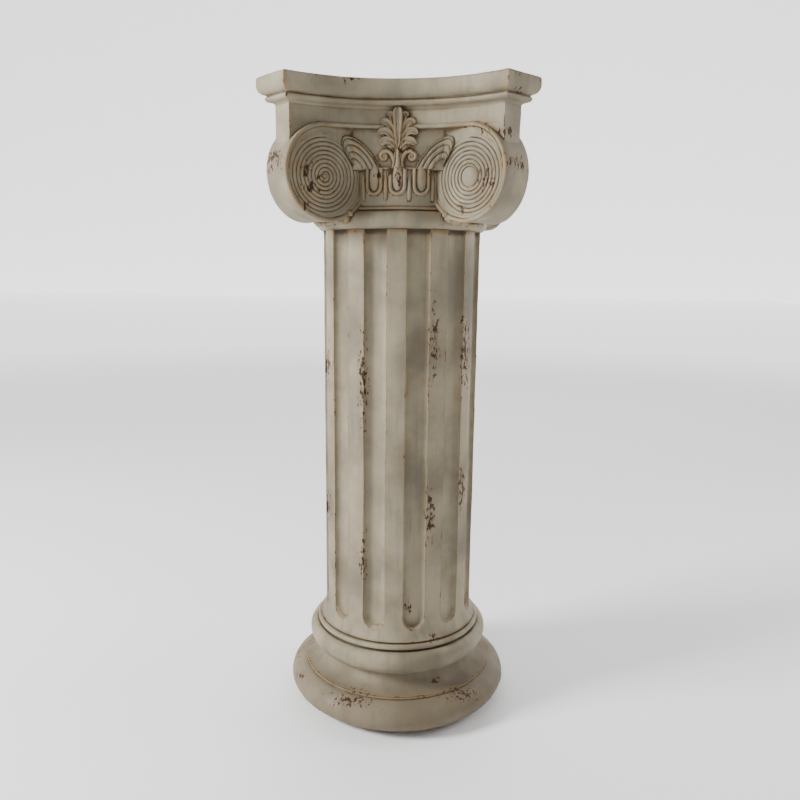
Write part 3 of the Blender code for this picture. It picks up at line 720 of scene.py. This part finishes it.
def scroll(sign):
    """Rises from the foot beside the stem, arches over and curls in."""
    lead = [bezier(SCROLL_RISE, share) for share in np.linspace(0.0, 1.0, 20)]
    path = [(point.x, point.y) for point in lead]
    for step in range(1, 19):
        angle = math.radians(22 - 24 * step)
        curl = 0.0046 * (1.0 - 0.6 * step / 18)
        path.append((CURL_X + curl * math.cos(angle), CURL_RISE + curl * math.sin(angle)))
    points = [(sign * x, -(CANALIS_HALF + 0.0016), DRUM_TOP + z) for x, z in path]
    widths = list(np.linspace(0.0026, 0.0030, 20)) + list(np.linspace(0.0028, 0.0014, 18))
    return drawn_along("scroll", points, widths, [w * 1.5 for w in widths])


def stem(foot_x, head_x, width):
    rise = np.linspace(-0.0008, 0.0235, 14)
    path = []
    for height in rise:
        share = (height - rise[0]) / (rise[-1] - rise[0])
        path.append((foot_x + (head_x - foot_x) * share ** 0.6, -(CANALIS_HALF + 0.003), DRUM_TOP + height))
    widths = [width * (0.72 + 0.5 * (1.0 - i / 13) ** 2) for i in range(14)]
    return drawn_along("stem", path, widths, [w * 1.6 for w in widths])


palmette_parts = teardrop()
palmette_parts += [lobe(tip, sign) for tip in LOBE_TIPS for sign in (-1, 1)]
palmette_parts += [scroll(sign) for sign in (-1, 1)]
palmette_parts += [stem(0.0, 0.0, 0.0036), stem(-0.0072, -0.0030, 0.0020), stem(0.0072, 0.0030, 0.0020)]
palmette_parts.append(scaled_ball("fan_body", BODY_PLACE, BODY_RADII))
for x in (-CURL_X, CURL_X):
    palmette_parts.append(scaled_ball("curl", (x, -0.1080, DRUM_TOP + CURL_RISE), CURL_RADII, 16, 10))
palmettes = repeated(joined(palmette_parts, "palmette"), "palmettes", FOUR_SIDES)
print("palmettes:", len(palmettes.data.polygons), "faces")

# %% [markdown]
# A spray of leaves arches out of the corner between palmette and volute. Its rim and the veins
# inside it are one curve at smaller and smaller scales about the outer foot, so a ring of the skin
# goes across the leaf and the rings follow the arch.

# %% Leaf sprays
SPRAY_STEPS = 60
SPRAY_ACROSS = 44
SPRAY_RELIEF = 0.0044
VEINS = 4
SCALLOPS = 4.5
RIM_SHARE = 0.16
INNER_FOOT = Vector((0.0215, 0.0))
OUTER_FOOT = Vector((0.0566, 0.0))
SPRAY_SPAN = OUTER_FOOT.x - INNER_FOOT.x
SPRAY_RIM = [INNER_FOOT, INNER_FOOT + Vector((SPRAY_SPAN * 0.67, 0.0500)),
             OUTER_FOOT + Vector((SPRAY_SPAN * 1.24, 0.0621)), OUTER_FOOT]
SPRAY_INNER_SCALE = 0.28


def face_distance(across):
    """How far the capital's face stands from the axis plane, at a distance from the side's middle."""
    start = (VOLUTE_HALF_THICKNESS + VOLUTE_FLARE * VOLUTE_END - FACE_SINK * 0.6) / DIAGONAL
    on_volute = (start + across * (1.0 - VOLUTE_FLARE)) / (1.0 + VOLUTE_FLARE)
    return max(CANALIS_HALF, on_volute)


def spray(sign):
    rings = []
    for step in range(SPRAY_STEPS + 1):
        edge = bezier(SPRAY_RIM, 0.94 * step / SPRAY_STEPS) - OUTER_FOOT
        ring = []
        for index in range(SPRAY_ACROSS + 1):
            share = index / SPRAY_ACROSS
            scale = 1.0 - (1.0 - SPRAY_INNER_SCALE) * share
            drift = 0.10 * math.sin(math.tau * step / SPRAY_STEPS) * min(1.0, 3.0 * share)
            rolls = abs(math.sin(math.pi * (VEINS * share ** 0.75 + drift))) ** 0.6
            scallops = abs(math.sin(math.pi * (SCALLOPS * step / SPRAY_STEPS + 1.3 * share))) ** 0.5
            leaf = rolls if share < RIM_SHARE else rolls * (0.55 + 0.45 * scallops)
            fade = min(1.0, 12.0 * share, 8.0 * (1.0 - share) + 0.2)
            lift = SPRAY_RELIEF * fade * (0.25 + 0.75 * leaf) - 0.0020 * (1.0 - fade)
            spot = OUTER_FOOT + scale * edge
            ring.append((sign * spot.x, -face_distance(spot.x) - lift, DRUM_TOP - 0.0013 + spot.y))
        for scale in (SPRAY_INNER_SCALE, 1.0):
            spot = OUTER_FOOT + scale * edge
            ring.append((sign * spot.x, 0.004 - CANALIS_HALF, DRUM_TOP - 0.0013 + spot.y))
        rings.append(ring)
    return skinned("spray", rings, 45.0)


sprays = repeated(joined([spray(-1), spray(1)], "leaf_sprays"), "leaf_sprays", FOUR_SIDES)
print("sprays:", len(sprays.data.polygons), "faces")

# %% [markdown]
# Where the volutes meet the ring below them, the mould left rough lumps of casting. They are small
# balls, squeezed and pushed about by the same slow unevenness that all surfaces get next.

# %% Casting lumps
LUMPS = ((0.0791, 0.1080, 0.7275, 0.0090), (0.0700, 0.1060, 0.7295, 0.0080),
         (0.0880, 0.1060, 0.7245, 0.0075), (0.0640, 0.1070, 0.7340, 0.0055),
         (0.0960, 0.1010, 0.7225, 0.0065))
lump_set = []
for x, y, z, size in LUMPS:
    for sign in (-1, 1):
        lump_set.append(scaled_ball("lump", (sign * x, -y, z), (size, size * 1.1, size * 0.8), 20, 12))
lumps = repeated(joined(lump_set, "lumps"), "casting_lumps", FOUR_SIDES)
UNEVEN = (("slow_swell", 0.060, 0.0012), ("fine_swell", 0.016, 0.0006))
LUMP_ROUGHNESS = 0.0045
pieces = [shaft, abacus, band, block, volutes, webs, eggs, palmettes, sprays, lumps]


def displaced(piece, name, scale, strength):
    texture = bpy.data.textures.new(name, 'CLOUDS')
    texture.noise_scale = scale
    texture.noise_depth = 2
    pick(piece)
    push = piece.modifiers.new(name, 'DISPLACE')
    push.texture = texture
    push.texture_coords = 'LOCAL'
    push.strength = strength
    push.mid_level = 0.5
    bpy.ops.object.modifier_apply(modifier=name)


displaced(lumps, "lump_shape", 0.006, LUMP_ROUGHNESS)
for name, scale, strength in UNEVEN:
    for piece in pieces:
        displaced(piece, name, scale, strength)
for piece in pieces:
    places = places_of(piece)
    places[:, 2] = np.clip(places[:, 2], 0.0, TOP)
    put_places(piece, places)
print("pieces:", {piece.name: len(piece.data.polygons) for piece in pieces})

# %% [markdown]
# The wash pooled in the hollows and was wiped off the ridges, and the hollows are also painted darker as
# shade, so the finish has to know how hollow each spot is. Rays are cast from every vertex, and the share
# that soon meets another surface is kept as the attribute "hollow". The attribute "ridge" says how much a
# vertex stands out from its neighbours, and "chip" where the photo shows the paint knocked off.

# %% Surface attributes
HOLLOW_REACH = 0.032
RAYS = 14
RAY_START = 0.0004


def ray_directions():
    """Evenly spread over the half sphere round +Z, as unit vectors."""
    golden = math.pi * (3.0 - math.sqrt(5.0))
    rays = []
    for index in range(RAYS):
        height = math.sqrt(1.0 - (index + 0.5) / RAYS * 0.97)
        flat = math.sqrt(1.0 - height ** 2)
        rays.append((flat * math.cos(golden * index), flat * math.sin(golden * index), height))
    return np.array(rays)


def normals_of(piece):
    flat = np.empty(3 * len(piece.data.vertices))
    piece.data.vertices.foreach_get("normal", flat)
    return flat.reshape(-1, 3)


def whole_tree():
    corners, faces = [], []
    for piece in pieces:
        first = len(corners)
        corners.extend(map(Vector, places_of(piece)))
        faces.extend([first + index for index in polygon.vertices] for polygon in piece.data.polygons)
    return BVHTree.FromPolygons(corners, faces)


def hollow_values(piece, tree):
    places, normals = places_of(piece), normals_of(piece)
    helper = np.where(np.abs(normals[:, 2:]) < 0.9, [[0.0, 0.0, 1.0]], [[1.0, 0.0, 0.0]])
    first = np.cross(normals, helper)
    first /= np.linalg.norm(first, axis=1)[:, None] + 1e-12
    second = np.cross(normals, first)
    starts = [Vector(place) for place in places + normals * RAY_START]
    met = np.zeros(len(places))
    for x, y, z in ray_directions():
        rays = first * x + second * y + normals * z
        for index, ray in enumerate(rays):
            distance = tree.ray_cast(starts[index], ray, HOLLOW_REACH)[3]
            if distance is not None:
                met[index] += 1.0 - distance / HOLLOW_REACH
    return met / RAYS


def ridge_values(piece):
    places, normals = places_of(piece), normals_of(piece)
    pairs = np.empty(2 * len(piece.data.edges), np.int64)
    piece.data.edges.foreach_get("vertices", pairs)
    one, other = pairs.reshape(-1, 2).T
    step = places[other] - places[one]
    length = np.linalg.norm(step, axis=1) + 1e-9
    total = np.zeros(len(places))
    count = np.zeros(len(places))
    for start, end, way in ((one, other, step), (other, one, -step)):
        bend = -(way * normals[start]).sum(axis=1) / length
        np.add.at(total, start, bend)
        np.add.at(count, start, 1.0)
    return total / np.maximum(count, 1.0)


def keep_attribute(piece, name, values):
    attribute = piece.data.attributes.new(name, 'FLOAT', 'POINT')
    attribute.data.foreach_set("value", np.asarray(values, np.float32))


tree = whole_tree()
for piece in pieces:
    keep_attribute(piece, "hollow", hollow_values(piece, tree))
    keep_attribute(piece, "ridge", ridge_values(piece))
print("hollows and ridges measured")

# %% [markdown]
# Each chip that shows in the photo is an ellipse in the picture: its middle, half width and half
# height in pixels. A vertex that faces the camera gets the chip's strength by how near it projects
# to the middle, and the paint later breaks along an irregular line through that slope.

# %% Chips seen in the photo
CHIP_SPOTS = (
    (273, 161, 9, 11), (262, 150, 4, 5), (307, 169, 5, 10), (310, 187, 9, 5), (319, 177, 3, 3),
    (306, 207, 4, 5), (486, 177, 8, 10), (464, 207, 3, 4), (484, 132, 3, 4), (517, 164, 10, 7),
    (350, 77, 4, 3), (357, 77, 3, 2), (312, 72, 3, 3), (260, 74, 5, 3), (269, 70, 4, 2),
    (517, 69, 4, 3), (524, 70, 3, 2), (534, 73, 6, 3), (518, 91, 4, 3), (509, 131, 10, 3),
    (328, 364, 2, 15), (329, 506, 2, 12), (363, 378, 3, 44), (363, 558, 2, 24), (434, 342, 3, 35),
    (430, 512, 3, 24), (465, 350, 2, 41), (461, 488, 2, 23), (407, 608, 3, 3), (352, 700, 20, 7),
    (462, 694, 16, 6), (298, 648, 3, 8), (301, 676, 4, 3), (433, 638, 4, 3), (435, 680, 3, 3),
    (398, 177, 3, 9), (390, 172, 3, 4), (380, 175, 5, 3), (395, 150, 2, 2), (399, 150, 2, 2),
)
FACING = 0.05


def chip_values(piece):
    places, normals = places_of(piece), normals_of(piece)
    to_camera = np.array(camera.matrix_world.inverted())
    seen = places @ to_camera[:3, :3].T + to_camera[:3, 3]
    across = FRAME_PIXELS / 2 + FOCAL_PIXELS * seen[:, 0] / -seen[:, 2]
    down = FRAME_PIXELS / 2 - FOCAL_PIXELS * seen[:, 1] / -seen[:, 2]
    toward = np.array(CAMERA_PLACE) - places
    facing = (toward * normals).sum(axis=1) / np.linalg.norm(toward, axis=1) > FACING
    strength = np.zeros(len(places))
    for x, y, half_width, half_height in CHIP_SPOTS:
        away = np.hypot((across - x) / (half_width + 2.0), (down - y) / (half_height + 2.0))
        strength = np.maximum(strength, 1.0 - away / 1.6)
    return np.where(facing & (places[:, 1] < 0.0), np.clip(strength, 0.0, 1.0), 0.0)


for piece in pieces:
    keep_attribute(piece, "chip", chip_values(piece))
print(len(CHIP_SPOTS), "chips placed")

# %% [markdown]
# The finish is one node material. From the bottom up it has mottled cream paint, grey brushed along
# the height, brown painted shade darkening towards the foot, tan wash in the hollows that is partly
# painted shade, painted shade darkest in the deepest hollows, tan on the rubbed ridges, and chips down
# to dark brown. Every pattern reads Object coordinates or attributes.

# %% Helpers for the finish
material = bpy.data.materials.new("aged_paint")
material.use_nodes = True
nodes, links = material.node_tree.nodes, material.node_tree.links
shader = nodes["Principled BSDF"]
where = nodes.new("ShaderNodeTexCoord")


def feed(socket, value):
    if isinstance(value, bpy.types.NodeSocket):
        links.new(value, socket)
    else:
        socket.default_value = value


def noise(scale, detail=4.0, stretch=(1.0, 1.0, 1.0), roughness=0.55):
    mapping = nodes.new("ShaderNodeMapping")
    mapping.inputs["Scale"].default_value = stretch
    links.new(where.outputs["Object"], mapping.inputs["Vector"])
    pattern = nodes.new("ShaderNodeTexNoise")
    pattern.inputs["Scale"].default_value = scale
    pattern.inputs["Detail"].default_value = detail
    pattern.inputs["Roughness"].default_value = roughness
    links.new(mapping.outputs["Vector"], pattern.inputs["Vector"])
    return pattern.outputs["Fac"]


def sum_of(one, other, operation='ADD'):
    total = nodes.new("ShaderNodeMath")
    total.operation = operation
    feed(total.inputs[0], one)
    feed(total.inputs[1], other)
    return total.outputs[0]


def between(value, start, end, low_value=0.0, high_value=1.0):
    """0 to 1 as the value goes from start to end, with soft ends."""
    span = nodes.new("ShaderNodeMapRange")
    span.interpolation_type = 'SMOOTHSTEP'
    feed(span.inputs["Value"], value)
    ends = {"From Min": start, "From Max": end, "To Min": low_value, "To Max": high_value}
    for name, number in ends.items():
        span.inputs[name].default_value = number
    return span.outputs["Result"]


def blended(below, above, share):
    mix = nodes.new("ShaderNodeMix")
    mix.data_type = 'RGBA'
    feed(mix.inputs["Factor"], share)
    feed(mix.inputs["A"], below)
    feed(mix.inputs["B"], above)
    return mix.outputs["Result"]


def kept(name):
    attribute = nodes.new("ShaderNodeAttribute")
    attribute.attribute_name = name
    return attribute.outputs["Fac"]


# %% Aged paint
CREAM = (0.290, 0.247, 0.166, 1.0)
CREAM_DARK = (0.150, 0.128, 0.086, 1.0)
GREY_WASH = (0.115, 0.107, 0.085, 1.0)
TAN = (0.165, 0.104, 0.046, 1.0)
RUBBED_TAN = (0.245, 0.156, 0.068, 1.0)
# Near-black brown used as painted shade in the deepest hollows
DEEP_HOLLOW_SHADE = (0.040, 0.032, 0.020, 1.0)
# Brown used as painted shade low on the base
LOW_SHADE_BROWN = (0.120, 0.091, 0.055, 1.0)
CHIP_BROWN = (0.030, 0.012, 0.003, 1.0)
CHIP_EDGE = (0.160, 0.085, 0.035, 1.0)

hollow, ridge, chip = kept("hollow"), kept("ridge"), kept("chip")
height = nodes.new("ShaderNodeSeparateXYZ")
links.new(where.outputs["Object"], height.inputs["Vector"])
mottle = noise(9.0, 5.0)
patches = noise(34.0, 4.0)
speckle = noise(260.0, 3.0, roughness=0.7)
flakes = noise(230.0, 3.0, (1.0, 1.0, 0.5), 0.6)
streaks = noise(52.0, 5.0, (1.0, 1.0, 0.10), 0.62)
brush = noise(210.0, 3.0, (1.0, 1.0, 0.06), 0.6)

colour = blended(CREAM, CREAM_DARK, between(mottle, 0.36, 0.68))
colour = blended(colour, GREY_WASH, between(streaks, 0.50, 0.74, 0.0, 0.55))
colour = blended(colour, GREY_WASH, between(brush, 0.55, 0.80, 0.0, 0.35))
# Painted shade: darker brown towards the bottom, under the base's upper round
low_shade = between(height.outputs["Z"], 0.100, 0.050, 0.0, 0.65)
colour = blended(colour, LOW_SHADE_BROWN, low_shade)
grooved = sum_of(sum_of(ridge, -1.6, 'MULTIPLY'), 0.0, 'MAXIMUM')
wash_and_shade_patches = sum_of(sum_of(patches, 0.5, 'SUBTRACT'), 0.5, 'MULTIPLY')
# Hollowness, grooves and patches in one mask: the tan below is partly real wash and partly painted shade
wash_and_shade = sum_of(sum_of(hollow, grooved), wash_and_shade_patches)
colour = blended(colour, TAN, between(wash_and_shade, 0.12, 0.40, 0.0, 0.55))
# Painted shade: the deepest hollows are darkened towards near-black brown
colour = blended(colour, DEEP_HOLLOW_SHADE, between(wash_and_shade, 0.24, 0.66, 0.0, 0.85))
rubbed = sum_of(ridge, sum_of(sum_of(patches, 0.5, 'SUBTRACT'), 0.45, 'MULTIPLY'))
colour = blended(colour, RUBBED_TAN, between(rubbed, 0.06, 0.18, 0.0, 0.55))
scatter = sum_of(sum_of(flakes, 0.5, 'SUBTRACT'), 2.4, 'MULTIPLY')
broken = sum_of(sum_of(chip, 0.60, 'MULTIPLY'), scatter)
bare = sum_of(between(broken, 0.50, 0.56), between(chip, 0.02, 0.10), 'MULTIPLY')
rim = sum_of(between(broken, 0.36, 0.48, 0.0, 0.8), between(chip, 0.02, 0.10), 'MULTIPLY')
worn = sum_of(sum_of(ridge, 1.2, 'MULTIPLY'), sum_of(scatter, sum_of(patches, 0.62, 'SUBTRACT')))
stray = sum_of(between(worn, 0.46, 0.52, 0.0, 0.9), between(ridge, 0.05, 0.12), 'MULTIPLY')
colour = blended(colour, CHIP_EDGE, rim)
colour = blended(colour, CHIP_BROWN, sum_of(bare, stray, 'MAXIMUM'))
links.new(colour, shader.inputs["Base Color"])
links.new(between(patches, 0.3, 0.7, 0.52, 0.78), shader.inputs["Roughness"])
shader.inputs["Specular IOR Level"].default_value = 0.35

relief = sum_of(sum_of(speckle, 0.5, 'MULTIPLY'), sum_of(brush, 0.35, 'MULTIPLY'))
relief = sum_of(relief, sum_of(sum_of(bare, stray), -1.2, 'MULTIPLY'))
bump = nodes.new("ShaderNodeBump")
bump.inputs["Strength"].default_value = 0.7
bump.inputs["Distance"].default_value = 0.0006
links.new(relief, bump.inputs["Height"])
links.new(bump.outputs["Normal"], shader.inputs["Normal"])
for piece in pieces:
    piece.data.materials.clear()
    piece.data.materials.append(material)
print("finish:", len(nodes), "nodes")

# %% [markdown]
# Every piece rides on the one body, takes its place from the one casting and its finish from the one
# paint. The floor and the backdrop belong to the stage. Both are plain and pale, and they glow a
# little far from the column, so that the ground stays even up to the top of the picture.

# %% Fit the pieces to the frame
for piece in pieces:
    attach(piece, "root")
    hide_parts(CASTING)

# %% Floor and backdrop
FLOOR_SIZE = 30.0
BACKDROP_SIZE = 60.0
BACKDROP_PLACE = (0.0, 14.9, 0.0)
STAGE_WHITE = (0.93, 0.93, 0.93, 1.0)
GLOW_START = 1.2
GLOW_END = 6.0
FLOOR_GLOW = 1.05
BACKDROP_GLOW = 1.2


def stage_white(name, roughness):
    """A pale material and its shader's inputs, ready to glow."""
    white = bpy.data.materials.new(name)
    white.use_nodes = True
    inputs = white.node_tree.nodes["Principled BSDF"].inputs
    inputs["Base Color"].default_value = STAGE_WHITE
    inputs["Roughness"].default_value = roughness
    inputs["Emission Color"].default_value = (1.0, 1.0, 1.0, 1.0)
    return white, inputs


bpy.ops.object.select_all(action='DESELECT')
bpy.ops.mesh.primitive_plane_add(size=FLOOR_SIZE, location=(0.0, 0.0, 0.0))
floor = bpy.context.object
floor.name = "floor"
pale, pale_inputs = stage_white("pale_floor", 0.9)
floor_tree = pale.node_tree
floor_place = floor_tree.nodes.new("ShaderNodeTexCoord")
from_column = floor_tree.nodes.new("ShaderNodeVectorMath")
from_column.operation = 'LENGTH'
far_glow = floor_tree.nodes.new("ShaderNodeMapRange")
far_glow.interpolation_type = 'SMOOTHSTEP'
far_glow.inputs["From Min"].default_value = GLOW_START
far_glow.inputs["From Max"].default_value = GLOW_END
far_glow.inputs["To Max"].default_value = FLOOR_GLOW
floor_tree.links.new(floor_place.outputs["Object"], from_column.inputs[0])
floor_tree.links.new(from_column.outputs["Value"], far_glow.inputs["Value"])
floor_tree.links.new(far_glow.outputs["Result"], pale_inputs["Emission Strength"])
floor.data.materials.append(pale)
bpy.ops.mesh.primitive_plane_add(size=BACKDROP_SIZE, location=BACKDROP_PLACE,
                                 rotation=(math.radians(90.0), 0.0, 0.0))
backdrop = bpy.context.object
backdrop.name = "backdrop"
glow, glow_inputs = stage_white("lit_backdrop", 0.5)
glow_inputs["Emission Strength"].default_value = BACKDROP_GLOW
backdrop.data.materials.append(glow)

# %% Lamps and room
LAMPS = (
    ("key_left", (-2.4, -0.95, 1.7), 0.8, 150.0),
    ("front_high", (-0.4, -2.2, 2.4), 1.2, 8.0),
    ("rim_right", (2.0, 0.3, 1.3), 1.0, 22.0),
    ("back", (0.3, 2.2, 2.0), 2.0, 25.0),
)
LAMP_AIM = Vector((0.0, 0.0, 0.5))
ROOM_LIGHT = 0.38
for name, place, size, power in LAMPS:
    bpy.ops.object.light_add(type='AREA', location=place)
    lamp = bpy.context.object
    lamp.name = name
    lamp.data.size = size
    lamp.data.energy = power
    lamp.rotation_euler = (LAMP_AIM - Vector(place)).to_track_quat('-Z', 'Y').to_euler()
world = bpy.data.worlds.new("white_room")
world.use_nodes = True
world.node_tree.nodes["Background"].inputs["Color"].default_value = (1.0, 1.0, 1.0, 1.0)
world.node_tree.nodes["Background"].inputs["Strength"].default_value = ROOM_LIGHT
bpy.context.scene.world = world
